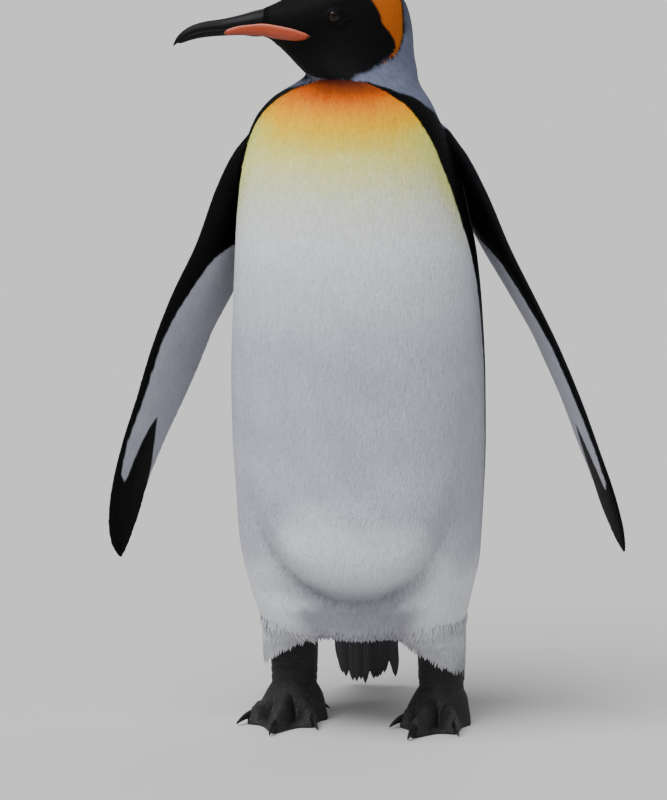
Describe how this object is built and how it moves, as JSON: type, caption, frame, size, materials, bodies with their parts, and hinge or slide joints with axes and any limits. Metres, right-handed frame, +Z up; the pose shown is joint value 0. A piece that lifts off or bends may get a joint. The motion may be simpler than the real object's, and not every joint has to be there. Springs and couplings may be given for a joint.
{
  "type": "king penguin",
  "caption": "Standing king penguin as a still life-size model: white front, dark back, orange neck patches, flippers held out, head turned to its right.",
  "frame": {"origin": "on the floor, under the middle of the whole bird's box", "axes": "+Z up, -Y is the way the chest faces, +X to the bird's own left; the bill points towards -X"},
  "size_m": [0.5363, 0.3091, 0.779],
  "materials": {
    "plumage_white": "dense satin feathers, white with a yellow to orange bib",
    "plumage_grey": "dense satin feathers, blue-grey",
    "plumage_black": "dense satin feathers, black",
    "bill_horn": "smooth dark horn with a low sheen",
    "bill_plate": "smooth salmon-orange horn",
    "eye": "wet dark brown",
    "foot_skin": "scaly blackish skin",
    "claw_horn": "dark horn"
  },
  "bodies": {
    "root": {"trunk": "plumage_white", "neck": "plumage_grey", "head": "plumage_black", "flipper_right": "plumage_black", "flipper_left": "plumage_black", "thigh_right": "plumage_white", "thigh_left": "plumage_white", "tail": "plumage_black", "bill_upper": "bill_horn", "bill_lower": "bill_horn", "bill_plate_right": "bill_plate", "bill_plate_left": "bill_plate", "eye_right": "eye", "eye_left": "eye", "tarsus_right": "foot_skin", "tarsus_left": "foot_skin", "foot_right": "foot_skin", "foot_left": "foot_skin", "claw_right_outer": "claw_horn", "claw_right_middle": "claw_horn", "claw_right_inner": "claw_horn", "claw_right_hallux": "claw_horn", "claw_left_outer": "claw_horn", "claw_left_middle": "claw_horn", "claw_left_inner": "claw_horn", "claw_left_hallux": "claw_horn"}
  },
  "joints": []
}
